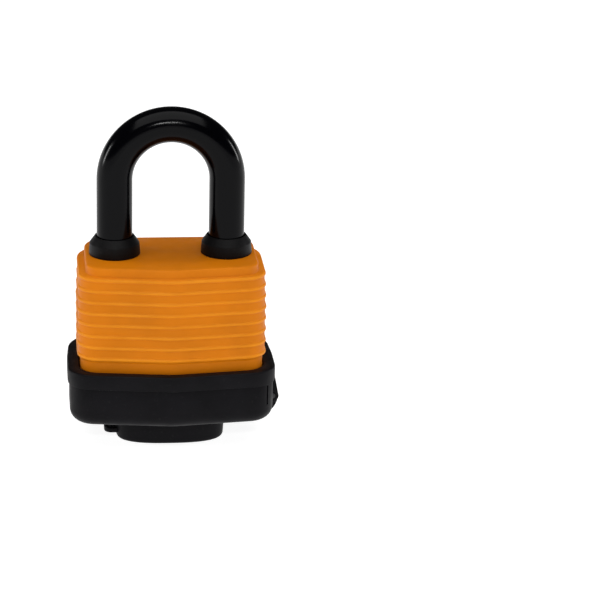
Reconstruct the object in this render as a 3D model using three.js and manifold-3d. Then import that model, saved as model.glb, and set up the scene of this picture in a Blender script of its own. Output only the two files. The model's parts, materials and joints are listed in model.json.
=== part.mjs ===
// A weatherproof laminated padlock: a steel body of riveted plates inside a ribbed soft jacket, a base cap
// with a hinged keyway cover, a sleeved shackle, two spring-loaded latches and a pin-tumbler lock.
// Millimetres, +X to the right, -Y to the front, +Z up.
// The origin is the centre of the cover's flat underside.
import * as THREE from 'three';
import { mergeVertices } from 'three/addons/utils/BufferGeometryUtils.js';
import Module from 'manifold-3d';

const wasm = await Module();
wasm.setup();

// ---- driving dimensions ----
const TOP = 45.2;                    // height of the jacket's top face
const LEG_X = 12.94;                 // shackle leg axis from the middle
const STEEL_R = 3.25;                // shackle steel radius
const SLEEVE_R = 4.12;               // shackle sleeve outer radius
const CROWN_TOP = 80.05;             // highest point of the sleeve
const LEG_BORE_R = 3.5;              // bores in the plates for the legs
const LIFT = 17;                     // how far the shackle rises

const PLATE = { half: 19.4, back: 11.4, front: -10.5, corner: 4 };
const PLATE_PITCH = 2.72;
const PLATE_GAP = 0.02;
const BODY_PLATES = 11;
const STACK_TOP = TOP - 4.22;        // top of the first full-size plate
const BOTTOM_PLATE_LOW = TOP - 36.2;

const RIB_PITCH = PLATE_PITCH;
const RIB_HEIGHT = 0.7;
const RIB_COUNT = 8;
const FIRST_RIB = TOP - 2.7;         // middle of the highest rib
const RIM_TOP = 20.25;               // top edge of the base cap
const BAND_LOW = 16.4;               // lower edge of the cap's wider rim band
const CAP_LOW = 7.2;                 // underside of the base cap
const CAP_FLOOR = CAP_LOW + 1.15;
const CAP_EDGE_R = 3.0;              // rounding of the cap's lower edge
const COVER_TOP = 6.9;
const COVER_FLOOR = 1.4;
const PLINTH_LOW = 2.0;
const FRONT_SLOPE = 0.128;           // how fast the bowed front falls back from its middle line
const APEX_R = 12;                   // rounding of the front's middle line
const WAIST_R = 20;                  // rounding where the cap's sides start to draw in
const OVAL_POWER = 2.6;              // 2 would make the cover's oval an ellipse, more squares it
const ROD_SIDES = 16;                // flats round the shackle and its sleeve

const HINGE = { x: 24.0, z: 10.7, pinR: 0.6, knuckleR: 1.45, knuckleHalf: 2.6, earHalf: 4.2, gapHalf: 2.9 };
const STRAP = { centreX: 20.45, centreZ: 10.2, inner: 3.6, outer: 5.0, half: 2.6 };

const CHAMBER_LOW = STACK_TOP - 3 * PLATE_PITCH;
const NOTCH = { low: TOP - 11.3, high: TOP - 8.1, flat: LEG_X - 1.55 };
const CAM_PIN_OFFSET = 1.0;          // x and y of each cam pin from the plug's axis with the lock open
const CAM_PIN_R = 0.65;

const PLUG_R = 4.0;
const PLUG_TOP = TOP - 18.1;
const PLUG_LOW = TOP - 34.0;
const NOSE_R = 3.6;
const NOSE_LOW = 2.6;
const PIN_R = 1.1;
const PIN_BORE_R = 1.25;
const PIN_LEVELS = [14.2, 17.2, 20.2, 23.2];
const KEY_PIN_LENGTHS = [2.75, 2.45, 2.6, 2.3];
const KEY_PIN_OUTER = 3.85;
const DRIVER = { inner: 4.15, outer: 5.95 };
const PIN_COVER = { inner: 7.8, outer: 8.3 };
const SHELL = { r: 6.3, reach: 8.4, half: 2.3, low: TOP - 34.05, high: TOP - 17.9 };

// ---- finishes ----
function finish(color, roughness, metalness) {
  return new THREE.MeshStandardMaterial({ color, roughness, metalness });
}

const orangeJacket = () => finish('#f08a1c', 0.5, 0);
const blackPlastic = () => finish('#17171a', 0.45, 0);
const blackRubber = () => finish('#141416', 0.6, 0);
const blackVinyl = () => finish('#0f0f11', 0.25, 0);
const platedSteel = () => finish('#a9abad', 0.35, 1);
const hardSteel = () => finish('#c2c4c6', 0.25, 1);
const springSteel = () => finish('#8e9094', 0.3, 1);
const brass = () => finish('#c9a24a', 0.3, 1);
const zincCasting = () => finish('#9fa1a3', 0.45, 1);

// ---- outlines ----
function arc(cx, cy, r, from, to, steps) {
  return Array.from({ length: steps + 1 }, (_, i) => {
    const a = from + (to - from) * i / steps;
    return new THREE.Vector2(cx + r * Math.cos(a), cy + r * Math.sin(a));
  });
}

function circle(cx, cy, r, steps) {
  return arc(cx, cy, r, 0, 2 * Math.PI, steps).slice(0, steps);
}

// A convex outline, anticlockwise, whose corners [x, y, radius] are rounded by arcs.
function rounded(corners, steps) {
  const points = [];
  corners.forEach(([x, y, r], i) => {
    const here = new THREE.Vector2(x, y);
    const back = new THREE.Vector2(...corners.at(i - 1)).sub(here).normalize();
    const ahead = new THREE.Vector2(...corners[(i + 1) % corners.length]).sub(here).normalize();
    const half = Math.acos(back.dot(ahead)) / 2;
    const centre = back.clone().add(ahead).normalize().multiplyScalar(r / Math.sin(half)).add(here);
    const start = Math.atan2(back.y, back.x) + Math.PI / 2;
    points.push(...arc(centre.x, centre.y, r, start, start + Math.PI - 2 * half, steps));
  });
  return points;
}

// The body's plan: flat back, straight sides, and a front that comes to a shallow middle line.
function bodyPlan(half, back, apex, backR, frontR) {
  const side = apex + FRONT_SLOPE * half;
  return rounded([[half, back, backR], [-half, back, backR], [-half, side, frontR], [0, apex, APEX_R],
    [half, side, frontR]], 4);
}

// The cap's plan: as the body's, with sides that draw in from their middle to the back.
function capPlan(half, back, apex, backR, frontR, drawIn) {
  const side = apex + FRONT_SLOPE * half;
  const rear = half - drawIn;
  return rounded([[half, 0, WAIST_R], [rear, back, backR], [-rear, back, backR], [-half, 0, WAIST_R],
    [-half, side, frontR], [0, apex, APEX_R], [half, side, frontR]], 4);
}

function platePlan({ half, back, front, corner }) {
  const corners = [[half, back], [-half, back], [-half, front], [half, front]];
  return rounded(corners.map(([x, y]) => [x, y, corner]), 2);
}

function superellipse(a, b, steps) {
  const power = 2 / OVAL_POWER;
  return Array.from({ length: steps }, (_, i) => {
    const t = 2 * Math.PI * i / steps;
    const c = Math.cos(t);
    const s = Math.sin(t);
    const x = a * Math.sign(c) * Math.abs(c) ** power;
    const y = b * Math.sign(s) * Math.abs(s) ** power;
    return new THREE.Vector2(x, y);
  });
}

function box2(x0, x1, y0, y1) {
  return [[x0, y0], [x1, y0], [x1, y1], [x0, y1]].map(([x, y]) => new THREE.Vector2(x, y));
}

// ---- solids ----
function slab(outline, low, high, holes = [], edge = 0) {
  const shape = new THREE.Shape(outline);
  shape.holes = holes.map((points) => new THREE.Path(points));
  const bevel = edge > 0
    ? { bevelEnabled: true, bevelThickness: edge, bevelSize: edge, bevelOffset: -edge, bevelSegments: 4 }
    : { bevelEnabled: false };
  const geometry = new THREE.ExtrudeGeometry(shape, { depth: high - low - 2 * edge, ...bevel });
  return geometry.translate(0, 0, low + edge);
}

// A slab drawn in the X-Z plane, from front y0 to back y1.
function sideSlab(outline, y0, y1, holes = []) {
  return slab(outline, -y1, -y0, holes).rotateX(Math.PI / 2);
}

// A slab drawn in the Y-Z plane, from x0 to x1.
function endSlab(outline, x0, x1) {
  return slab(outline, x0, x1).rotateX(Math.PI / 2).rotateZ(Math.PI / 2);
}

function turned(profile, steps) {
  const points = profile.map(([r, z]) => new THREE.Vector2(r, z));
  if (profile[0][0] > 0) points.push(points[0].clone());
  return new THREE.LatheGeometry(points, steps).rotateX(Math.PI / 2);
}

function solid(geometry) {
  const bare = geometry.clone();
  bare.deleteAttribute('normal');
  bare.deleteAttribute('uv');
  const welded = mergeVertices(bare, 1e-5);
  return new wasm.Manifold(new wasm.Mesh({
    numProp: 3,
    vertProperties: new Float32Array(welded.attributes.position.array),
    triVerts: new Uint32Array(welded.index.array),
  }));
}

function shape(result) {
  const mesh = result.getMesh();
  const geometry = new THREE.BufferGeometry();
  geometry.setAttribute('position', new THREE.BufferAttribute(mesh.vertProperties, 3));
  geometry.setIndex(new THREE.BufferAttribute(mesh.triVerts, 1));
  return geometry;
}

function join(...parts) {
  return shape(parts.map(solid).reduce((sum, part) => sum.add(part)));
}

function cut(from, ...tools) {
  return shape(tools.map(solid).reduce((rest, tool) => rest.subtract(tool), solid(from)));
}

const padlock = new THREE.Group();

function add(name, geometry, material) {
  const mesh = new THREE.Mesh(geometry, material);
  mesh.name = name;
  padlock.add(mesh);
}

// ---- shackle: bent steel rod with latch notches, and a vinyl sleeve over the part outside the body ----
const ARCH_Z = CROWN_TOP - SLEEVE_R - LEG_X;

class Arch extends THREE.Curve {
  getPoint(t, target = new THREE.Vector3()) {
    const a = Math.PI * (1 - t);
    return target.set(LEG_X * Math.cos(a), 0, ARCH_Z + LEG_X * Math.sin(a));
  }
}

function archTube(r) {
  const section = new THREE.Shape(circle(0, 0, r, ROD_SIDES));
  return new THREE.ExtrudeGeometry(section, { steps: 18, extrudePath: new Arch(), bevelEnabled: false });
}

function leg(side, r, low) {
  const rod = slab(circle(0, 0, r, ROD_SIDES), low, ARCH_Z + 0.01);
  return rod.translate(side * LEG_X, 0, 0);
}

function shackle() {
  const heelFoot = TOP - 34.0;
  const toeEnd = TOP - 12.2;
  const neckTop = TOP - 12.3;
  const neckLow = neckTop - LIFT - 2.7;
  const neckR = 2.2;
  const notches = [-1, 1].map((side) => {
    const inner = side * (NOTCH.flat - 5);
    const outer = side * NOTCH.flat;
    return slab(box2(Math.min(inner, outer), Math.max(inner, outer), -4, 4), NOTCH.low, NOTCH.high);
  });
  const neck = slab(circle(0, 0, 5, ROD_SIDES), neckLow, neckTop, [circle(0, 0, neckR, ROD_SIDES)]);
  neck.translate(-LEG_X, 0, 0);
  const rod = join(archTube(STEEL_R), leg(-1, STEEL_R, heelFoot), leg(1, STEEL_R, toeEnd));
  return cut(rod, ...notches, neck);
}

function sleeve() {
  const low = TOP + 0.6;
  const bore = 3.4;
  const outside = join(archTube(SLEEVE_R), leg(-1, SLEEVE_R, low), leg(1, SLEEVE_R, low));
  const inside = join(archTube(bore), leg(-1, bore, low - 1), leg(1, bore, low - 1));
  return cut(outside, inside);
}

add('shackle', shackle(), hardSteel());
add('shackle_sleeve', sleeve(), blackVinyl());

// ---- shackle seals: a cone above a flange on the jacket, with a neck down through it ----
[['left', -1], ['right', 1]].forEach(([name, side]) => {
  const above = [[3.6, -1.5], [4.6, -1.5], [4.6, 0.02], [5.95, 0.02], [5.75, 2.8], [4.55, 4.4], [4.27, 4.4],
    [4.27, 0.3], [3.6, 0.3]];
  const profile = above.map(([r, z]) => [r, TOP + z]);
  add(`shackle_seal_${name}`, turned(profile, 20).translate(side * LEG_X, 0, 0), blackRubber());
});

// ---- jacket: a ribbed sleeve, open below, stepped in at the top and where it enters the cap ----
function jacket() {
  const ledge = FIRST_RIB + RIB_HEIGHT / 2;
  const lastRibLow = FIRST_RIB - (RIB_COUNT - 1) * RIB_PITCH - RIB_HEIGHT / 2;
  const low = TOP - 36.5;
  const bands = [
    slab(bodyPlan(19.8, 12.1, -13.4, 6, 4.5), ledge - 1, TOP),
    slab(bodyPlan(21.6, 13.0, -14.1, 8, 5), lastRibLow, ledge),
    slab(bodyPlan(21.1, 12.85, -13.75, 7.2, 4.8), low, lastRibLow + 1),
  ];
  for (let i = 0; i < RIB_COUNT; i += 1) {
    const middle = FIRST_RIB - i * RIB_PITCH;
    bands.push(slab(bodyPlan(21.9, 13.3, -14.4, 8.3, 5.3), middle - RIB_HEIGHT / 2, middle + RIB_HEIGHT / 2));
  }
  const upper = { half: 18.4, back: 10.9, front: -10.0, corner: 4 };
  const main = { half: 19.65, back: 11.65, front: -10.75, corner: 4.2 };
  return cut(join(...bands),
    slab(platePlan(upper), TOP - 5, TOP - 1.2),
    slab(platePlan(main), low - 1, TOP - 4.0),
    ...[-1, 1].map((side) => slab(circle(side * LEG_X, 0, 4.9, 24), TOP - 2, TOP + 1)));
}

add('weather_jacket', jacket(), orangeJacket());

// ---- base cap: cup with a wider rim band, plinth round the keyway and two ears for the cover's pin ----
function hingeBracket() {
  const { x, z, knuckleR, earHalf } = HINGE;
  const outline = [new THREE.Vector2(22.2, BAND_LOW), new THREE.Vector2(22.2, z - 1.2),
    ...arc(x, z, knuckleR, -Math.PI / 2, Math.PI / 10, 6), new THREE.Vector2(24.3, BAND_LOW)];
  return sideSlab(outline, -earHalf, earHalf);
}

function baseCap() {
  const inside = slab(bodyPlan(21.4, 13.1, -14.0, 7.4, 5), CAP_FLOOR, RIM_TOP + 1);
  const body = join(
    slab(capPlan(23.65, 14.95, -15.85, 9, 6, 0.9), CAP_LOW, RIM_TOP - 0.6, [], CAP_EDGE_R),
    slab(capPlan(24.1, 15.4, -16.3, 9.5, 6.4, 0.9), BAND_LOW, RIM_TOP, [], 0.4),
    slab(superellipse(10.1, 5.2, 32), PLINTH_LOW, CAP_LOW + 1),
    hingeBracket(),
  );
  const slot = slab(box2(-0.25, 0.25, -0.7, 0.7), 11.5, BAND_LOW - 0.4);
  slot.rotateZ(0.78).translate(21.95, -11.5, 0);
  return cut(body, inside,
    slab(circle(0, 0, NOSE_R + 0.3, 24), 0, CAP_FLOOR + 1),
    sideSlab(circle(HINGE.x, HINGE.z, 2.1, 20), -HINGE.gapHalf, HINGE.gapHalf),
    sideSlab(circle(HINGE.x, HINGE.z, HINGE.pinR + 0.1, 12), -6, 6),
    slot);
}

add('base_cap', baseCap(), blackPlastic());

// ---- keyway cover: an oval cup with a thumb tab, and a strap round the cap's corner to its hinge ----
function keywayCover() {
  const halfWidth = 12.95;
  const halfDepth = 7.1;
  const wall = 1.2;
  const { centreX, centreZ, inner, outer, half } = STRAP;
  const strapRoot = halfWidth - 0.9;
  const strap = [new THREE.Vector2(strapRoot, centreZ - outer),
    ...arc(centreX, centreZ, outer, -Math.PI / 2, 0, 8),
    new THREE.Vector2(HINGE.x + 1.4, HINGE.z),
    new THREE.Vector2(HINGE.x - 0.2, HINGE.z),
    ...arc(centreX, centreZ, inner, 0, -Math.PI / 2, 8),
    new THREE.Vector2(strapRoot, centreZ - inner)];
  const tabRoot = 0.8 - halfWidth;
  const tabEnd = -halfWidth - 2.55;
  const tab = rounded([[tabRoot, 2.6, 0.3], [tabEnd, 2.6, 1.8], [tabEnd, -2.6, 1.8], [tabRoot, -2.6, 0.3]], 3);
  const cup = join(
    slab(superellipse(halfWidth, halfDepth, 40), 0, COVER_TOP + 2, [], 1.2),
    slab(tab, 1.5, 2.8),
  );
  const body = join(
    cut(cup, slab(box2(-20, 20, -20, 20), COVER_TOP, COVER_TOP + 4)),
    sideSlab(strap, -half, half),
    sideSlab(circle(HINGE.x, HINGE.z, HINGE.knuckleR, 20), -HINGE.knuckleHalf, HINGE.knuckleHalf),
  );
  return cut(body,
    slab(superellipse(halfWidth - wall, halfDepth - wall, 40), COVER_FLOOR, COVER_TOP + 2),
    sideSlab(circle(HINGE.x, HINGE.z, HINGE.pinR + 0.18, 12), -6, 6));
}

add('keyway_cover', keywayCover(), blackPlastic());
const pinOutline = circle(HINGE.x, HINGE.z, HINGE.pinR, 12);
add('cover_hinge_pin', sideSlab(pinOutline, -HINGE.earHalf, HINGE.earHalf), platedSteel());

// ---- plate stack: top plate, body plates with the holes their level needs, bottom plate, four rivets ----
const RIVETS = [-1, 1].flatMap((side) => [[side * 15.6, -6.6], [side * 15.6, 7.4]]);
const RIVET_R = 1.5;

// Both leg bores and the latch channel between them, as one hole.
function chamberHole() {
  const half = 3.1;
  const open = Math.asin(half / LEG_BORE_R);
  return [...arc(LEG_X, 0, LEG_BORE_R, open - Math.PI, Math.PI - open, 9),
    ...arc(-LEG_X, 0, LEG_BORE_R, open, 2 * Math.PI - open, 9)];
}

function cylinderOutline(grow) {
  const r = SHELL.r + grow;
  const half = SHELL.half + grow;
  const open = Math.asin(half / r);
  return [...arc(0, 0, r, open, 2 * Math.PI - open, 14), new THREE.Vector2(SHELL.reach + grow, -half),
    new THREE.Vector2(SHELL.reach + grow, half)];
}

const rivetHoles = () => RIVETS.map(([x, y]) => circle(x, y, RIVET_R + 0.25, 6));
const legBores = () => [-1, 1].map((side) => circle(side * LEG_X, 0, LEG_BORE_R, 12));

function plateHoles(level) {
  if (level === 2 || level === 3) return [chamberHole()];
  const camHole = circle(0, 0, 3.2, 12);
  if (level === 4) return [circle(-LEG_X, 0, 5.15, 12), circle(LEG_X, 0, LEG_BORE_R, 12), camHole];
  if (level === 5) return [...legBores(), camHole];
  if (level > 5) return [...legBores(), cylinderOutline(0.25)];
  return legBores();
}

const topPlan = { half: 18.1, back: 10.6, front: -9.7, corner: 3.8 };
const topHoles = [...legBores(), ...rivetHoles()];
add('top_plate', slab(platePlan(topPlan), STACK_TOP + PLATE_GAP, TOP - 1.9, topHoles), platedSteel());
for (let level = 1; level <= BODY_PLATES; level += 1) {
  const high = STACK_TOP - (level - 1) * PLATE_PITCH;
  const low = high - PLATE_PITCH + PLATE_GAP;
  const name = `body_plate_${String(level).padStart(2, '0')}`;
  add(name, slab(platePlan(PLATE), low, high, [...plateHoles(level), ...rivetHoles()]), platedSteel());
}
const stackLow = STACK_TOP - BODY_PLATES * PLATE_PITCH;
const bottomHoles = [circle(0, 0, NOSE_R + 0.25, 20), ...legBores(), ...rivetHoles()];
add('bottom_plate', slab(platePlan(PLATE), BOTTOM_PLATE_LOW, stackLow, bottomHoles), platedSteel());

RIVETS.forEach(([x, y], i) => {
  const top = TOP - 1.88;
  const low = BOTTOM_PLATE_LOW - PLATE_GAP;
  const profile = [[0, low - 0.35], [2.0, low - 0.35], [2.2, low], [RIVET_R, low], [RIVET_R, top], [2.2, top],
    [2.0, top + 0.4], [0, top + 0.4]];
  add(`rivet_${i + 1}`, turned(profile, 7).translate(x, y, 0), platedSteel());
});

// ---- shackle retainer: a clip round the heel leg's neck, in a pocket of the fourth plate ----
const clipOutline = [...arc(-LEG_X, 0, 4.9, Math.asin(2.45 / 4.9), 2 * Math.PI - Math.asin(2.45 / 4.9), 16),
  ...arc(-LEG_X, 0, 2.45, 1.5 * Math.PI, Math.PI / 2, 8)];
add('shackle_retainer', slab(clipOutline, TOP - 14.9, TOP - 12.6), hardSteel());

// ---- latches: a nose for each leg's notch, a block the spring pushes on, and an arm that the cam pulls ----
function latch() {
  const armHigh = TOP - 10.9;
  const armLow = TOP - 12.1;
  const slotHalf = CAM_PIN_R + 0.15;
  const body = join(
    slab(box2(-7.4, -4.4, -2.8, 2.8), armLow, TOP - 7.2),
    slab(box2(-9.1, -7.4, -2.0, 2.0), TOP - 11.0, TOP - 8.4),
    slab(box2(-4.4, 2.6, -2.8, -0.25), armLow, armHigh),
  );
  const slot = box2(CAM_PIN_OFFSET - slotHalf, CAM_PIN_OFFSET + slotHalf, -2.2, 0);
  return cut(body, slab(slot, armLow - 1, armHigh + 1));
}

add('latch_left', latch(), hardSteel());
add('latch_right', latch().rotateZ(Math.PI), hardSteel());

// ---- springs: round wire wound along X ----
class Helix extends THREE.Curve {
  constructor(x0, x1, radius, turns, z) {
    super();
    Object.assign(this, { x0, x1, radius, turns, z });
  }

  getPoint(t, target = new THREE.Vector3()) {
    const a = 2 * Math.PI * this.turns * t;
    const x = this.x0 + (this.x1 - this.x0) * t;
    return target.set(x, this.radius * Math.cos(a), this.z + this.radius * Math.sin(a));
  }
}

function spring(x0, x1, radius, wire, turns, z) {
  const section = new THREE.Shape(circle(0, 0, wire, 4));
  const path = new Helix(x0 + wire, x1 - wire, radius, turns, z);
  return new THREE.ExtrudeGeometry(section, { steps: turns * 8, extrudePath: path, bevelEnabled: false });
}

add('latch_spring', spring(-4.3, 4.3, 1.4, 0.2, 6, TOP - 9.05), springSteel());

// ---- lock cylinder: shell with a chimney of pin bores, plug with the keyway, cam on the plug ----
const bore = (z, x0, x1) => endSlab(circle(0, z, PIN_BORE_R, 12), x0, x1);

function shell() {
  const blank = slab(cylinderOutline(0), SHELL.low, SHELL.high, [circle(0, 0, PLUG_R + 0.15, 20)]);
  const seat = box2(PIN_COVER.inner - 0.05, PIN_COVER.outer + 0.05, -1.6, 1.6);
  const seatSlot = slab(seat, SHELL.low + 0.8, SHELL.high - 0.8);
  return cut(blank, seatSlot, ...PIN_LEVELS.map((z) => bore(z, 3, PIN_COVER.outer)));
}

function plug() {
  const keyway = slab(box2(-0.95, 0.95, -3.0, 2.4), NOSE_LOW - 1, PLUG_TOP - 2.2);
  const camSlot = slab(box2(-1.0, 1.0, -5, 5), PLUG_TOP - 1.3, PLUG_TOP + 1);
  const chambers = PIN_LEVELS.map((z) => bore(z, -0.2, 5).rotateZ(Math.PI / 2));
  const body = join(slab(circle(0, 0, PLUG_R, 20), PLUG_LOW, PLUG_TOP),
    slab(circle(0, 0, NOSE_R, 20), NOSE_LOW, PLUG_LOW + 1));
  return cut(body, keyway, camSlot, ...chambers);
}

function cam() {
  const postLow = PLUG_TOP + 0.05;
  const postHigh = CHAMBER_LOW - 0.1;
  const tongue = slab(box2(-0.85, 0.85, -2.6, 2.6), PLUG_TOP - 1.2, postLow + 1);
  const post = slab(circle(0, 0, 2.8, 20), postLow, postHigh);
  const pins = [-1, 1].map((side) => {
    const outline = circle(side * CAM_PIN_OFFSET, -side * CAM_PIN_OFFSET, CAM_PIN_R, 10);
    return slab(outline, postHigh - 1, TOP - 10.95);
  });
  return join(tongue, post, ...pins);
}

add('cylinder_shell', shell(), zincCasting());
add('cylinder_plug', plug(), brass());
add('lock_cam', cam(), hardSteel());
const coverHeight = [SHELL.low + 0.9, SHELL.high - 0.9];
add('pin_cover', slab(box2(PIN_COVER.inner, PIN_COVER.outer, -1.5, 1.5), ...coverHeight), brass());

PIN_LEVELS.forEach((z, i) => {
  const inner = KEY_PIN_OUTER - KEY_PIN_LENGTHS[i];
  const pinSection = circle(0, z, PIN_R, 10);
  add(`key_pin_${i + 1}`, endSlab(pinSection, inner, KEY_PIN_OUTER).rotateZ(Math.PI / 2), brass());
  add(`driver_pin_${i + 1}`, endSlab(pinSection, DRIVER.inner, DRIVER.outer), hardSteel());
  const coil = spring(DRIVER.outer + 0.03, PIN_COVER.inner - 0.03, 0.75, 0.13, 3, z);
  add(`pin_spring_${i + 1}`, coil, springSteel());
});

export default padlock;
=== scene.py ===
"""A weatherproof laminated padlock on a pale floor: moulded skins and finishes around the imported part."""
import json
import math

import bpy
from mathutils import Matrix, Vector, noise


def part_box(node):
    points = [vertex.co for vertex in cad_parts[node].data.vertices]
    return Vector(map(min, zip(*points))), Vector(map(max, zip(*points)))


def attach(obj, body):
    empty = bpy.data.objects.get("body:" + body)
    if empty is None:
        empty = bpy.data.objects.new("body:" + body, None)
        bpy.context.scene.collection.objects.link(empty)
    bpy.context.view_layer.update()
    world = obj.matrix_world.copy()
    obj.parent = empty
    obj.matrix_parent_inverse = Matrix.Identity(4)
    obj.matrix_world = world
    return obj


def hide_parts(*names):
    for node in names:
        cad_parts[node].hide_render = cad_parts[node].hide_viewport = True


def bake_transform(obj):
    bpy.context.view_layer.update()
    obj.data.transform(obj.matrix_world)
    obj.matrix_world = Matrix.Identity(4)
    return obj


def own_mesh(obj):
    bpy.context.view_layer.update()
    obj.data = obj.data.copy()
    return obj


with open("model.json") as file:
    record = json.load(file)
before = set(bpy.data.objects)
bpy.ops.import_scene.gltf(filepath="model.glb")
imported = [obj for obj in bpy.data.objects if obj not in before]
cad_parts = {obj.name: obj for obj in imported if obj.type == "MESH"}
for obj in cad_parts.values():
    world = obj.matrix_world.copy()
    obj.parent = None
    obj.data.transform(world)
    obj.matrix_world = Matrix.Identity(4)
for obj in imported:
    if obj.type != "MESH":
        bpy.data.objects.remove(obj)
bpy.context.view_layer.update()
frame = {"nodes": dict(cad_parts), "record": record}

MM = 0.001

# ---- places taken from the frame ----
JACKET_LOW, JACKET_TOP = (corner.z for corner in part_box("weather_jacket"))
CAP_BOX_LOW, CAP_BOX_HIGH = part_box("base_cap")
SLEEVE_LOW, SLEEVE_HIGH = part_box("shackle_sleeve")
SEAL_LOW, SEAL_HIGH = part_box("shackle_seal_right")
PIN_LOW, PIN_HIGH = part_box("cover_hinge_pin")
LEG_X = (SEAL_LOW.x + SEAL_HIGH.x) / 2
HINGE_X = (PIN_LOW.x + PIN_HIGH.x) / 2
HINGE_Z = (PIN_LOW.z + PIN_HIGH.z) / 2
PIN_R = (PIN_HIGH.x - PIN_LOW.x) / 2

# ---- plans in mm: half width, back, front apex, back and front corner radius, draw-in of the sides ----
TOP_BLOCK = (19.8, 12.1, -13.4, 6.0, 4.5)
WALL_AT_TOP = (21.3, 13.0, -14.1, 8.0, 5.0)
WALL = (21.6, 13.0, -14.1, 8.0, 5.0)
RIB = (21.88, 13.3, -14.4, 8.3, 5.3)
LOWER_BAND = (21.1, 12.85, -13.75, 7.2, 4.8)
CUP = (23.65, 14.95, -15.85, 9.0, 6.0, 0.9)
RIM = (24.1, 15.4, -16.3, 9.5, 6.4, 0.9)
CUP_INSIDE = (21.4, 13.1, -14.0, 7.4, 5.0, 0.05)    # draws in only to have as many points as the rim
FRONT_SLOPE = 0.128                  # how far the front falls back for each unit away from its middle line
APEX_R = 12 * MM
WAIST_R = 20 * MM

# ---- rounded boxes in mm: half width, back, front, corner radius ----
JACKET_ROOM = (19.65, 11.65, -10.75, 4.2)
TOP_ROOM = (18.4, 10.9, -10.0, 4)
CAP_SLOT = (0.25, 0.7, -0.7, 0.1)

# ---- jacket ----
RIB_PITCH = 2.72 * MM
BEAD_HALF = 0.5 * MM                 # half the height of a rib's rounded bead
BEAD_STEPS = 8
BEAD_POWER = 1.6                     # above 1 makes the bead's crest narrower than a half circle
BEAD_SPAN = 0.96                     # keeps a bead's outer rings off the wall's
RIB_COUNT = 8
FIRST_RIB = JACKET_TOP - 2.7 * MM
LEDGE = FIRST_RIB + BEAD_HALF
FLARE_DEPTH = 9 * MM                 # the soft wall widens over this height below its top
HOLLOW = 0.75 * MM                   # where the wall dips, from the middle of the rib above or below
HIGHLIGHT_LIFT = 0.12 * MM               # the painted highlight line lies this far above a rib's middle, on the bead's upper side where the light falls
LEG_HOLE_R = 4.9 * MM
WAVE_OUT, WAVE_OUT_SCALE = 0.045, 160       # in mm, and per metre
WAVE_UP, WAVE_UP_SCALE = 0.09, 110
WAVE_OFFSET = Vector((7, 3, 5))

# ---- sleeve ----
SLEEVE_BORE_R = 3.4 * MM
SLEEVE_LIP = 0.3 * MM
SLEEVE_SIDES = 56
LEG_STEPS = 12
ARCH_STEPS = 64

# ---- cap ----
RIM_TOP = CAP_BOX_HIGH.z
BAND_LOW = RIM_TOP - 3.6 * MM
CUP_LOW = 7.2 * MM
CUP_FLOOR = 8.35 * MM
CUP_EDGE_R = 3.0 * MM
PLINTH_LOW = CAP_BOX_LOW.z
PLINTH_HALF = (10.1 * MM, 5.2 * MM)
NOSE_HOLE_R = 3.6 * MM + 0.3 * MM    # the plug's nose and the room round it
KNUCKLE_R = 1.45 * MM
EAR_ROOT_X = 22.2 * MM
EAR_TIP_X = 24.3 * MM
EAR_HALF = 4.2 * MM
GAP_R, GAP_HALF = 2.1 * MM, 2.9 * MM
BORE_HALF = 6 * MM
SLOT_LOW = 11.5 * MM
SLOT_PLACE = (21.95 * MM, -11.5 * MM, 0)
SLOT_TURN = 0.78

# ---- cover ----
OVAL_POWER = 2.6                     # 2 would make an ellipse, more squares the oval
COVER_TOP = 6.9 * MM
COVER_FLOOR = 1.4 * MM
COVER_HALF = (12.95 * MM, 7.1 * MM)
COVER_WALL = 1.2 * MM
COVER_DRAFT = 0.3 * MM
TAB_REACH = 2.55 * MM
TAB_HALF = 2.6 * MM
TAB_TIP_R, TAB_ROOT_R = 1.8 * MM, 0.3 * MM
STRAP_BEND = Vector((20.45 * MM, 10.2 * MM))
STRAP_OUTER_R, STRAP_INNER_R = 5.0 * MM, 3.6 * MM
STRAP_HALF = 2.6 * MM
STRAP_STEPS = 12


# ---- outlines ----
def unit(a):
    return Vector((math.cos(a), math.sin(a)))


def rounded(corners, steps=8, between=0):
    """A closed outline of (x, y, radius) corners rounded by arcs, with points spread along the sides."""
    arcs = []
    for i, (x, y, r) in enumerate(corners):
        here = Vector((x, y))
        back = (Vector(corners[i - 1][:2]) - here).normalized()
        ahead = (Vector(corners[(i + 1) % len(corners)][:2]) - here).normalized()
        half = back.angle(ahead) / 2
        centre = here + (back + ahead).normalized() * (r / math.sin(half))
        first = here + back * (r / math.tan(half)) - centre
        last = here + ahead * (r / math.tan(half)) - centre
        start = math.atan2(first.y, first.x)
        turn = math.remainder(math.atan2(last.y, last.x) - start, 2 * math.pi)
        arcs.append([centre + r * unit(start + turn * k / steps) for k in range(steps + 1)])
    points = []
    for i, arc in enumerate(arcs):
        after = arcs[(i + 1) % len(arcs)][0]
        points += arc + [arc[-1].lerp(after, k / (between + 1)) for k in range(1, between + 1)]
    return points


def rounded_box(sizes):
    half, back, front, r = (v * MM for v in sizes)
    return rounded([(half, back, r), (-half, back, r), (-half, front, r), (half, front, r)])


def plan(sizes, inset=0.0):
    """The body's outline: flat back, sides that may draw in behind, a front with a shallow middle line."""
    half, back, apex, back_r, front_r, *draw_in = (v * MM for v in sizes)
    half, back, apex = half - inset, back - inset, apex + inset
    side = apex + FRONT_SLOPE * half
    rear = half - sum(draw_in)
    corners = [(rear, back, back_r - inset), (-rear, back, back_r - inset),
               (-half, side, front_r - inset), (0, apex, APEX_R), (half, side, front_r - inset)]
    if draw_in:
        corners.insert(2, (-half, 0, WAIST_R))
        corners.append((half, 0, WAIST_R))
    return rounded(corners, between=8)


def blend(a, b, t):
    """The outline a share t of the way from a to b."""
    return [p.lerp(q, t) for p, q in zip(a, b)]


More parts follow.
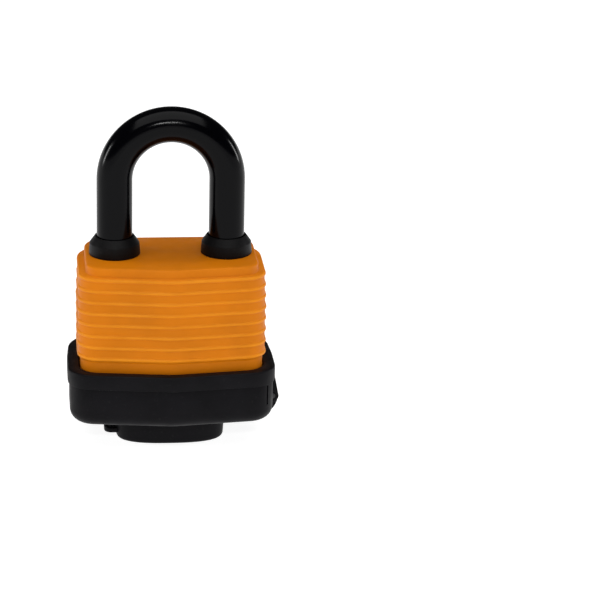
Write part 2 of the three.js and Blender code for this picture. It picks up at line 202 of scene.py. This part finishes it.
def oval(half_x, half_y, steps=96):
    power = 2 / OVAL_POWER
    points = []
    for i in range(steps):
        c, s = math.cos(2 * math.pi * i / steps), math.sin(2 * math.pi * i / steps)
        x, y = math.copysign(abs(c) ** power, c), math.copysign(abs(s) ** power, s)
        points.append(Vector((x * half_x, y * half_y)))
    return points


def circle(x, y, r, steps=48):
    angles = [2 * math.pi * i / steps for i in range(steps)]
    return [Vector((x + r * math.cos(a), y + r * math.sin(a))) for a in angles]


def quarter(r, steps=5):
    """Insets and drops of a rounded edge, from the face to the wall."""
    angles = [math.pi / 2 * k / steps for k in range(steps + 1)]
    return [(r * (1 - math.sin(a)), r * (1 - math.cos(a))) for a in angles]


# ---- solids ----
def mesh_object(name, points, faces):
    mesh = bpy.data.meshes.new(name)
    mesh.from_pydata([tuple(p) for p in points], [], faces)
    mesh.validate()
    made = bpy.data.objects.new(name, mesh)
    bpy.context.collection.objects.link(made)
    return made


def band(near, far, count, flip=False):
    """The quads between two rings of points that start at near and far; flip turns them over."""
    steps = [(i, (i + 1) % count) for i in range(count)]
    if flip:
        return [(near + i, far + i, far + j, near + j) for i, j in steps]
    return [(near + i, near + j, far + j, far + i) for i, j in steps]


def loft(name, rings):
    """A closed solid through (outline, z) rings, each capped end flat."""
    count = len(rings[0][0])
    points = [Vector((p.x, p.y, z)) for outline, z in rings for p in outline]
    faces = [tuple(reversed(range(count)))]
    for level in range(len(rings) - 1):
        faces += band(level * count, (level + 1) * count, count)
    faces.append(tuple(range((len(rings) - 1) * count, len(rings) * count)))
    return mesh_object(name, points, faces)


def prism(name, outline, low, high, edge=0.0):
    """A slab with its sharp edges softened by edge."""
    made = loft(name, [(outline, low), (outline, high)])
    if edge:
        soften(made, edge)
    return made


def side_prism(name, outline, half_depth, edge=0.0):
    """A slab drawn in the X-Z plane, centred on y = 0."""
    made = prism(name, outline, -half_depth, half_depth, edge)
    made.data.transform(Matrix.Rotation(math.pi / 2, 4, "X"))
    return made


def apply_modifier(made, modifier):
    with bpy.context.temp_override(object=made, active_object=made, selected_objects=[made]):
        bpy.ops.object.modifier_apply(modifier=modifier.name)


def soften(made, width):
    bevel = made.modifiers.new("edges", "BEVEL")
    bevel.width = width
    bevel.segments = 3
    bevel.limit_method = "ANGLE"
    bevel.angle_limit = math.radians(40)
    apply_modifier(made, bevel)


def combine(made, other, operation):
    boolean = made.modifiers.new("combine", "BOOLEAN")
    boolean.operation = operation
    boolean.solver = "MANIFOLD"
    boolean.object = other
    apply_modifier(made, boolean)
    bpy.data.objects.remove(other)


def shade(made, angle=35):
    for face in made.data.polygons:
        face.use_smooth = True
    made.data.set_sharp_from_angle(angle=math.radians(angle))


def lathe(name, profile, centre_x, steps=96):
    """A turned ring round a vertical axis through centre_x, from a closed (radius, z) profile."""
    count = len(profile)
    points = []
    for i in range(steps):
        a = 2 * math.pi * i / steps
        points += [Vector((centre_x + p.x * math.cos(a), p.x * math.sin(a), p.y)) for p in profile]
    faces = []
    for i in range(steps):
        faces += band(i * count, (i + 1) % steps * count, count, flip=True)
    return mesh_object(name, points, faces)


# ---- materials ----
MIDDLE_OF_NOISE = (0.3, 0.7)
SPECKS_OF_NOISE = (0.64, 0.74)
DUST_COLOUR = (0.35, 0.34, 0.33)


def finish(name, colour, roughness, metallic=0.0, specular=0.5, tint=0.08, patch=60.0,
           rough_spread=0.08, grain=(900.0, 0.15, 0.02), streaks=None, dust=0.0, crest_highlight=None):
    """A surface with a colour that drifts in patches, an uneven roughness, and a fine grain.

    grain is its scale, strength and depth in mm; the crest colour is a painted highlight, a paler orange
    laid on the ribs' crests."""
    made = bpy.data.materials.new(name)
    made.use_nodes = True
    nodes, links = made.node_tree.nodes, made.node_tree.links
    shader = nodes["Principled BSDF"]
    shader.inputs["Metallic"].default_value = metallic
    shader.inputs["Specular IOR Level"].default_value = specular
    place = nodes.new("ShaderNodeTexCoord").outputs["Object"]
    if streaks:
        stretch = nodes.new("ShaderNodeMapping")
        stretch.inputs["Scale"].default_value = streaks
        links.new(place, stretch.inputs["Vector"])
        place = stretch.outputs["Vector"]

    def cloud(scale, detail=5.0):
        texture = nodes.new("ShaderNodeTexNoise")
        texture.inputs["Scale"].default_value = scale
        texture.inputs["Detail"].default_value = detail
        links.new(place, texture.inputs["Vector"])
        return texture.outputs["Fac"]

    def spread(value, span, low, high):
        mapped = nodes.new("ShaderNodeMapRange")
        mapped.inputs["From Min"].default_value, mapped.inputs["From Max"].default_value = span
        mapped.inputs["To Min"].default_value = low
        mapped.inputs["To Max"].default_value = high
        links.new(value, mapped.inputs["Value"])
        return mapped.outputs["Result"]

    def mixed(base, over, share):
        mix = nodes.new("ShaderNodeMix")
        mix.data_type = "RGBA"
        links.new(share, mix.inputs["Factor"])
        links.new(base, mix.inputs["A"])
        mix.inputs["B"].default_value = (*over, 1)
        return mix.outputs["Result"]

    ramp = nodes.new("ShaderNodeValToRGB")
    for stop, position, factor in zip(ramp.color_ramp.elements, MIDDLE_OF_NOISE, (1 - tint, 1 + tint)):
        stop.position = position
        stop.color = [min(1, c * factor) for c in colour] + [1]
    links.new(cloud(patch), ramp.inputs["Fac"])
    colour_out = ramp.outputs["Color"]
    if dust:
        specks = spread(cloud(1400.0, 2.0), SPECKS_OF_NOISE, 0.0, dust)
        colour_out = mixed(colour_out, DUST_COLOUR, specks)
    # painted highlight: mixes the paler crest colour, in patches, onto the ribs where the top-lit beads
    # would shine
    if crest_highlight:
        painted_highlight_share = nodes.new("ShaderNodeAttribute")
        painted_highlight_share.attribute_name = "crest_highlight"
        share = nodes.new("ShaderNodeMath")
        share.operation = "MULTIPLY"
        links.new(painted_highlight_share.outputs["Fac"], share.inputs[0])
        links.new(cloud(patch * 1.7), share.inputs[1])
        colour_out = mixed(colour_out, crest_highlight, share.outputs["Value"])
    links.new(colour_out, shader.inputs["Base Color"])
    worn = spread(cloud(patch * 2.3), MIDDLE_OF_NOISE,
                  max(0.02, roughness - rough_spread), roughness + rough_spread)
    links.new(worn, shader.inputs["Roughness"])
    scale, strength, depth = grain
    bump = nodes.new("ShaderNodeBump")
    bump.inputs["Strength"].default_value = strength
    bump.inputs["Distance"].default_value = depth * MM
    links.new(cloud(scale, 3.0), bump.inputs["Height"])
    links.new(bump.outputs["Normal"], shader.inputs["Normal"])
    return made


FINISHES = {
    # the jacket's crest colour is a painted highlight on its ribs
    "orange_jacket": dict(colour=(0.615, 0.172, 0.0022), roughness=0.5, specular=0.1, tint=0.09, patch=90.0,
                          grain=(1300.0, 0.35, 0.05), crest_highlight=(0.8, 0.29, 0.014)),
    "black_plastic": dict(colour=(0.0034, 0.0031, 0.0042), roughness=0.5, specular=0.085, tint=0.25,
                          patch=120.0, grain=(2600.0, 0.4, 0.04), dust=0.012),
    "black_rubber": dict(colour=(0.003, 0.0028, 0.003), roughness=0.5, specular=0.1, tint=0.25,
                         patch=160.0, grain=(1800.0, 0.35, 0.04), dust=0.012),
    "black_vinyl": dict(colour=(0.0003, 0.0003, 0.0008), roughness=0.16, specular=0.1, tint=0.2,
                        patch=70.0, rough_spread=0.03, grain=(260.0, 0.12, 0.06)),
    "plated_steel": dict(colour=(0.6, 0.6, 0.6), roughness=0.36, metallic=1.0, tint=0.12, patch=240.0,
                         grain=(1500.0, 0.2, 0.01), streaks=(1.0, 5.0, 1.0)),
    "hardened_steel": dict(colour=(0.48, 0.48, 0.49), roughness=0.24, metallic=1.0, tint=0.06, patch=300.0,
                           rough_spread=0.06, grain=(1200.0, 0.12, 0.006), streaks=(1.0, 1.0, 4.0)),
    "spring_steel": dict(colour=(0.42, 0.42, 0.43), roughness=0.32, metallic=1.0, tint=0.1, patch=500.0,
                         grain=(2500.0, 0.15, 0.004)),
    "brass": dict(colour=(0.72, 0.5, 0.19), roughness=0.27, metallic=1.0, tint=0.09, patch=300.0,
                  grain=(1600.0, 0.15, 0.006), streaks=(1.0, 1.0, 6.0)),
    "dulled_pin": dict(colour=(0.07, 0.07, 0.072), roughness=0.5, metallic=1.0, tint=0.15, patch=900.0,
                       grain=(2500.0, 0.25, 0.006)),
    "zinc_casting": dict(colour=(0.5, 0.5, 0.51), roughness=0.46, metallic=1.0, tint=0.1, patch=200.0,
                         grain=(1100.0, 0.3, 0.02)),
}
LOOKS = {name: finish(name, **values) for name, values in FINISHES.items()}


def wear(made, slot):
    """Gives a piece its finish and names the record's material slot."""
    made.data.materials.clear()
    made.data.materials.append(LOOKS[slot])


def settle(made, body, node, slot, angle=35):
    """Shades a new piece, makes it ride on its body, and lets it stand for its CAD node."""
    shade(made, angle)
    wear(made, slot)
    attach(made, body)
    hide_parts(node)


# ---- jacket: stepped top block, eight rounded ribs, and a set-in band that goes down into the cap ----
def jacket():
    block, top_wall, wall, rib, lower_band = (
        plan(p) for p in (TOP_BLOCK, WALL_AT_TOP, WALL, RIB, LOWER_BAND))

    def skin(z, proud):
        """The outline at height z, proud of the wall by a share of the ribs' height."""
        flare = min(1.0, (LEDGE - z) / FLARE_DEPTH)
        outline = blend(top_wall, wall, flare)
        return [p + (q - w) * proud for p, q, w in zip(outline, rib, wall)]

    rings = [(plan(TOP_BLOCK, inset), JACKET_TOP - drop) for inset, drop in quarter(0.55 * MM)]
    rings.append((block, LEDGE + 0.25 * MM))
    rings += [(blend(block, top_wall, share), LEDGE + rise * MM)
              for share, rise in ((0.08, 0.06), (0.2, 0), (0.92, -0.02))]
    for k in range(RIB_COUNT):
        middle = FIRST_RIB - k * RIB_PITCH
        for step in range(BEAD_STEPS + 1):
            a = math.pi * (0.5 - step / BEAD_STEPS)
            z = middle + BEAD_HALF * math.sin(a) * BEAD_SPAN
            rings.append((skin(z, math.cos(a) ** BEAD_POWER), z))
        if k < RIB_COUNT - 1:
            rings += [(skin(middle - drop, proud), middle - drop)
                      for drop, proud in ((HOLLOW, -0.08), (RIB_PITCH / 2, 0), (RIB_PITCH - HOLLOW, -0.03))]
    under = FIRST_RIB - (RIB_COUNT - 1) * RIB_PITCH - BEAD_HALF
    rings += [(blend(wall, lower_band, 0.85), under - 0.25 * MM), (lower_band, under - 0.55 * MM),
              (lower_band, JACKET_LOW)]
    made = loft("jacket_skin", list(reversed(rings)))
    for vertex in made.data.vertices:
        if RIM_TOP < vertex.co.z < LEDGE:
            outward = Vector((vertex.co.x, vertex.co.y * 1.5, 0)).normalized()
            vertex.co += outward * (noise.noise(vertex.co * WAVE_OUT_SCALE) * WAVE_OUT * MM)
            vertex.co.z += noise.noise(vertex.co * WAVE_UP_SCALE + WAVE_OFFSET) * WAVE_UP * MM
    room, top_room = rounded_box(JACKET_ROOM), rounded_box(TOP_ROOM)
    combine(made, loft("cut", [(room, JACKET_LOW - MM), (room, JACKET_TOP - 4 * MM)]), "DIFFERENCE")
    combine(made, loft("cut", [(top_room, JACKET_TOP - 5 * MM), (top_room, JACKET_TOP - 1.2 * MM)]),
            "DIFFERENCE")
    for side in (-1, 1):
        hole = circle(side * LEG_X, 0, LEG_HOLE_R)
        combine(made, loft("cut", [(hole, JACKET_TOP - 2 * MM), (hole, JACKET_TOP + MM)]), "DIFFERENCE")
    # painted highlight mask: 1 on a line just above each rib's middle, falling to 0 half a bead's height
    # away
    crest_highlight = made.data.attributes.new("crest_highlight", "FLOAT", "POINT")
    for vertex in made.data.vertices:
        steps_down = (FIRST_RIB + HIGHLIGHT_LIFT - vertex.co.z) / RIB_PITCH
        if -0.5 < steps_down < RIB_COUNT - 0.5:
            away = (steps_down - round(steps_down)) * RIB_PITCH / BEAD_HALF
            crest_highlight.data[vertex.index].value = max(0.0, 1 - away * away)
    return made


settle(jacket(), "case", "weather_jacket", "orange_jacket", 50)


# ---- shackle sleeve: a glossy tube over the arch and both legs, open at its ends ----
def sleeve():
    outer = SLEEVE_HIGH.x - LEG_X
    bore, lip, sides = SLEEVE_BORE_R, SLEEVE_LIP, SLEEVE_SIDES
    arch_z = SLEEVE_HIGH.z - outer - LEG_X
    leg = arch_z - SLEEVE_LOW.z
    up, down = Vector((0, 0, 1)), Vector((0, 0, -1))
    path = [(Vector((-LEG_X, 0, SLEEVE_LOW.z + leg * k / LEG_STEPS)), up) for k in range(LEG_STEPS)]
    for k in range(ARCH_STEPS + 1):
        a = math.pi * (1 - k / ARCH_STEPS)
        path.append((Vector((LEG_X * math.cos(a), 0, arch_z + LEG_X * math.sin(a))),
                     Vector((math.sin(a), 0, -math.cos(a)))))
    path += [(Vector((LEG_X, 0, arch_z - leg * (k + 1) / LEG_STEPS)), down) for k in range(LEG_STEPS)]
    start, end, middle = path[0][0], path[-1][0], path[1:-1]
    section = [(start + up * lip, up, outer), *[(p, t, outer) for p, t in middle],
               (end + up * lip, down, outer), (end + up * lip * 0.3, down, outer - lip * 0.3),
               (end, down, outer - lip), (end, down, bore), *[(p, t, bore) for p, t in reversed(middle)],
               (start, up, bore), (start, up, outer - lip), (start + up * lip * 0.3, up, outer - lip * 0.3)]
    angles = [2 * math.pi * i / sides for i in range(sides)]
    points = []
    for p, along, r in section:
        across = along.cross(Vector((0, 1, 0)))
        points += [p + (Vector((0, math.cos(a), 0)) + across * math.sin(a)) * r for a in angles]
    faces = []
    for k in range(len(section)):
        faces += band(k * sides, (k + 1) % len(section) * sides, sides)
    return mesh_object("sleeve_skin", points, faces)


settle(sleeve(), "shackle", "shackle_sleeve", "black_vinyl", 50)


# ---- shackle seals: flared rubber collars with a crisp shoulder under the cone ----
def seal(name, centre_x):
    """Turned from corners of radius, height over the jacket's top, and rounding."""
    neck = SEAL_LOW.z - JACKET_TOP
    corners = [(3.6, neck, 0.1), (4.6, neck, 0.1), (4.6, 0.02 * MM, 0.05), (5.95, 0.02 * MM, 0.25),
               (5.74, 2.75 * MM, 0.28), (4.55, 4.4 * MM, 0.12), (4.27, 4.4 * MM, 0.08),
               (4.27, 0.3 * MM, 0.05), (3.6, 0.3 * MM, 0.1)]
    profile = rounded([(r * MM, JACKET_TOP + z, edge * MM) for r, z, edge in corners], steps=4)
    return lathe(name, profile, centre_x)


for side_name, side in (("left", -1), ("right", 1)):
    settle(seal(f"seal_skin_{side_name}", side * LEG_X), "case", f"shackle_seal_{side_name}",
           "black_rubber", 40)


# ---- base cap: rounded cup, wider rim band, keyway plinth, and the ears that hold the cover's pin ----
def cap():
    rings = [(plan(CUP, inset), CUP_LOW + drop) for inset, drop in quarter(CUP_EDGE_R, 10)]
    rings += [(plan(CUP), BAND_LOW - 0.35 * MM), (plan(CUP, 0.06 * MM), BAND_LOW - 0.2 * MM),
              (plan(CUP, 0.06 * MM), BAND_LOW - 0.06 * MM), (plan(RIM, 0.2 * MM), BAND_LOW),
              (plan(RIM, 0.06 * MM), BAND_LOW + 0.06 * MM), (plan(RIM), BAND_LOW + 0.22 * MM)]
    rings += [(plan(RIM, inset), RIM_TOP - drop) for inset, drop in reversed(quarter(0.45 * MM))]
    rings += [(plan(CUP_INSIDE, -0.2 * MM), RIM_TOP), (plan(CUP_INSIDE, -0.05 * MM), RIM_TOP - 0.06 * MM),
              (plan(CUP_INSIDE), RIM_TOP - 0.25 * MM), (plan(CUP_INSIDE), CUP_FLOOR)]
    made = loft("cap_skin", rings)
    plinth_x, plinth_y = PLINTH_HALF
    plinth = [(oval(plinth_x - inset, plinth_y - inset), PLINTH_LOW + drop)
              for inset, drop in quarter(0.4 * MM)]
    combine(made, loft("plinth", [*plinth, (oval(plinth_x, plinth_y), CUP_LOW + MM)]), "UNION")
    ear = [Vector((EAR_ROOT_X, BAND_LOW + 0.1 * MM)), Vector((EAR_ROOT_X, HINGE_Z - 1.2 * MM))]
    for k in range(13):
        a = math.pi * (-0.5 + 0.6 * k / 12)
        ear.append(Vector((HINGE_X + KNUCKLE_R * math.cos(a), HINGE_Z + KNUCKLE_R * math.sin(a))))
    ear.append(Vector((EAR_TIP_X, BAND_LOW + 0.1 * MM)))
    combine(made, side_prism("ears", ear, EAR_HALF, 0.22 * MM), "UNION")
    nose = circle(0, 0, NOSE_HOLE_R)
    combine(made, loft("nose", [(nose, 0), (nose, CUP_FLOOR + MM)]), "DIFFERENCE")
    combine(made, side_prism("gap", circle(HINGE_X, HINGE_Z, GAP_R), GAP_HALF), "DIFFERENCE")
    bore = circle(HINGE_X, HINGE_Z, PIN_R + 0.1 * MM, 24)
    combine(made, side_prism("bore", bore, BORE_HALF), "DIFFERENCE")
    slot = loft("slot", [(rounded_box(CAP_SLOT), z) for z in (SLOT_LOW, BAND_LOW - 0.4 * MM)])
    slot.data.transform(Matrix.Translation(SLOT_PLACE) @ Matrix.Rotation(SLOT_TURN, 4, "Z"))
    combine(made, slot, "DIFFERENCE")
    return made


settle(cap(), "case", "base_cap", "black_plastic", 30)


# ---- keyway cover: oval cup with a thumb tab, and the strap up round the cap's corner to the pin ----
def cover():
    half_x, half_y = COVER_HALF

    def ring(*insets):
        """The cover's oval, drawn in by each inset in turn."""
        x, y = COVER_HALF
        for inset in insets:
            x, y = x - inset, y - inset
        return oval(x, y)

    wall, draft = COVER_WALL, COVER_DRAFT
    rings = [(ring(draft, inset), drop) for inset, drop in quarter(1.0 * MM, 8)]
    rings += [(ring(draft * 0.4), 3.6 * MM), (ring(), COVER_TOP - 0.25 * MM),
              (ring(0.08 * MM), COVER_TOP - 0.07 * MM), (ring(0.25 * MM), COVER_TOP),
              (ring(wall, -0.15 * MM), COVER_TOP), (ring(wall), COVER_TOP - 0.15 * MM)]
    rings += [(ring(wall, draft, inset), COVER_FLOOR + drop)
              for inset, drop in reversed(quarter(0.4 * MM, 4))]
    made = loft("cover_skin", rings)
    reach, root = -half_x - TAB_REACH, -half_x + 0.8 * MM
    tab = rounded([(root, TAB_HALF, TAB_ROOT_R), (reach, TAB_HALF, TAB_TIP_R),
                   (reach, -TAB_HALF, TAB_TIP_R), (root, -TAB_HALF, TAB_ROOT_R)])
    combine(made, prism("tab", tab, 1.5 * MM, 2.8 * MM, 0.3 * MM), "UNION")
    root = half_x - 0.9 * MM
    rising = [math.pi / 2 * (k / STRAP_STEPS - 1) for k in range(STRAP_STEPS + 1)]
    falling = [-math.pi / 2 * k / STRAP_STEPS for k in range(STRAP_STEPS + 1)]
    strap = [Vector((root, STRAP_BEND.y - STRAP_OUTER_R)),
             *[STRAP_BEND + STRAP_OUTER_R * unit(a) for a in rising],
             Vector((HINGE_X + 1.4 * MM, HINGE_Z)), Vector((HINGE_X - 0.2 * MM, HINGE_Z)),
             *[STRAP_BEND + STRAP_INNER_R * unit(a) for a in falling],
             Vector((root, STRAP_BEND.y - STRAP_INNER_R))]
    combine(made, side_prism("strap", strap, STRAP_HALF, 0.3 * MM), "UNION")
    knuckle = circle(HINGE_X, HINGE_Z, KNUCKLE_R)
    combine(made, side_prism("knuckle", knuckle, STRAP_HALF, 0.15 * MM), "UNION")
    bore = circle(HINGE_X, HINGE_Z, PIN_R + 0.18 * MM, 24)
    combine(made, side_prism("bore", bore, BORE_HALF), "DIFFERENCE")
    return made


settle(cover(), "cover", "keyway_cover", "black_plastic", 30)


# ---- springs: round wire coiled along the length of each CAD spring ----
def coil(name, start, end, radius, wire, turns):
    """A wire helix along X from start to end, through points at the wire's own centre."""
    sides = 10
    steps = round(turns * 28)
    points = []
    for k in range(steps + 1):
        a = 2 * math.pi * turns * k / steps
        outward = Vector((0, math.cos(a), math.sin(a)))
        pitch = (end.x - start.x) / (2 * math.pi * turns)
        forward = Vector((pitch, -radius * math.sin(a), radius * math.cos(a)))
        across = forward.normalized().cross(outward)
        middle = start.lerp(end, k / steps) + outward * radius
        for i in range(sides):
            b = 2 * math.pi * i / sides
            points.append(middle + (outward * math.cos(b) + across * math.sin(b)) * wire)
    faces = [tuple(range(sides)), tuple(reversed(range(steps * sides, (steps + 1) * sides)))]
    for k in range(steps):
        faces += band(k * sides, (k + 1) * sides, sides, flip=True)
    return mesh_object(name, points, faces)


SPRING_TURNS = 3
PIN_WIRE = 0.13 * MM
LATCH_WIRE = 0.2 * MM
PIN_NUMBERS = range(1, 5)
for number in PIN_NUMBERS:
    low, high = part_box(f"pin_spring_{number}")
    z = (low.z + high.z) / 2
    radius = (high.z - low.z) / 2 - PIN_WIRE
    made = coil(f"pin_coil_{number}", Vector((low.x + PIN_WIRE, 0, z)), Vector((high.x - PIN_WIRE, 0, z)),
                radius, PIN_WIRE, SPRING_TURNS)
    settle(made, "case", f"pin_spring_{number}", "spring_steel")
    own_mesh(made)

low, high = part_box("latch_spring")
middle_z = (low.z + high.z) / 2
radius = (high.z - low.z) / 2 - LATCH_WIRE
for side_name, reach in (("left", low.x + LATCH_WIRE), ("right", high.x - LATCH_WIRE)):
    inner, outer = Vector((0, 0, middle_z)), Vector((reach, 0, middle_z))
    made = coil(f"latch_coil_{side_name}", inner, outer, radius, LATCH_WIRE, SPRING_TURNS)
    shade(made)
    wear(made, "spring_steel")
    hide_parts("latch_spring")
    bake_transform(made)

# ---- every CAD node that nothing above replaces keeps its shape and gets a worked finish ----
REPLACED = {"weather_jacket", "shackle_sleeve", "shackle_seal_left", "shackle_seal_right", "base_cap",
            "keyway_cover", "latch_spring", *(f"pin_spring_{number}" for number in PIN_NUMBERS)}
for part in frame["record"]["subparts"]:
    if part["node"] not in REPLACED:
        look = "dulled_pin" if part["node"] == "cover_hinge_pin" else part["material_slot"]
        for material_slot in frame["nodes"][part["node"]].material_slots:
            material_slot.material = LOOKS[look]

# ---- stage ----
FLOOR_LOW = -0.05 * MM               # just under the cover, so that the two never share a plane
FLOOR_R, COVE_R, BACKDROP_RISE = 3.7, 0.3, 0.1
COVE_STEPS = 8
FLOOR_LOOK = {"Base Color": (0.4, 0.4, 0.4, 1), "Emission Color": (1, 1, 1, 1), "Emission Strength": 0.9,
              "Roughness": 0.9, "Specular IOR Level": 0.1}
WORLD_STRENGTH = 0.05
BODY_MIDDLE = Vector((0, 0, 0.035))


def stage():
    """A wide pale floor that curves up into a low backdrop all round."""
    sides = 96
    profile = [(FLOOR_R, FLOOR_LOW)]
    for k in range(1, COVE_STEPS + 1):
        a = math.pi / 2 * k / COVE_STEPS
        profile.append((FLOOR_R + COVE_R * math.sin(a), FLOOR_LOW + COVE_R * (1 - math.cos(a))))
    profile.append((FLOOR_R + COVE_R, FLOOR_LOW + COVE_R + BACKDROP_RISE))
    points = [(p.x, p.y, z) for r, z in profile for p in circle(0, 0, r, sides)]
    faces = [tuple(range(sides))]
    for ring in range(len(profile) - 1):
        faces += band(ring * sides, (ring + 1) * sides, sides, flip=True)
    floor = mesh_object("floor", points, faces)
    pale = bpy.data.materials.new("pale_floor")
    pale.use_nodes = True
    shader = pale.node_tree.nodes["Principled BSDF"]
    for socket, value in FLOOR_LOOK.items():
        shader.inputs[socket].default_value = value
    floor.data.materials.append(pale)


def softbox(name, place, size, power):
    """A rectangular light, in metres and watts, that faces the middle of the body."""
    light = bpy.data.lights.new(name, "AREA")
    light.shape = "RECTANGLE"
    light.size, light.size_y = size
    light.energy = power
    made = bpy.data.objects.new(name, light)
    bpy.context.collection.objects.link(made)
    made.location = place
    made.rotation_mode = "QUATERNION"
    made.rotation_quaternion = (BODY_MIDDLE - Vector(place)).to_track_quat("-Z", "Y")


stage()
softbox("overhead", (0.0, -0.25, 1.1), (1.6, 1.2), 12.0)
softbox("left", (-0.66, 0.1, 0.19), (0.07, 0.22), 1.15)
softbox("right", (0.66, 0.1, 0.19), (0.07, 0.22), 1.0)
softbox("front", (0.0, -0.7, 0.43), (0.22, 0.028), 1.5)

world = bpy.context.scene.world or bpy.data.worlds.new("studio")
bpy.context.scene.world = world
world.use_nodes = True
background = world.node_tree.nodes["Background"]
background.inputs["Color"].default_value = (1, 1, 1, 1)
background.inputs["Strength"].default_value = WORLD_STRENGTH
bpy.context.scene.view_settings.view_transform = "Standard"

# ---- camera: a long lens a little above and to the left, aimed to the padlock's right ----
CAMERA_PLACE = Vector((-34.8, -569.1, 232.1)) * MM
CAMERA_AIM = Vector((30.45, 0, 33.1)) * MM
CAMERA_ROLL = math.radians(1.35)
CAMERA_LENS, CAMERA_SENSOR = 155.2, 36
camera_data = bpy.data.cameras.new("camera")
camera_data.sensor_width = CAMERA_SENSOR
camera_data.lens = CAMERA_LENS
camera = bpy.data.objects.new("camera", camera_data)
bpy.context.collection.objects.link(camera)
camera.location = CAMERA_PLACE
camera.rotation_mode = "QUATERNION"
toward = (CAMERA_AIM - CAMERA_PLACE).to_track_quat("-Z", "Y")
camera.rotation_quaternion = toward @ Matrix.Rotation(CAMERA_ROLL, 3, "Z").to_quaternion()
bpy.context.scene.camera = camera
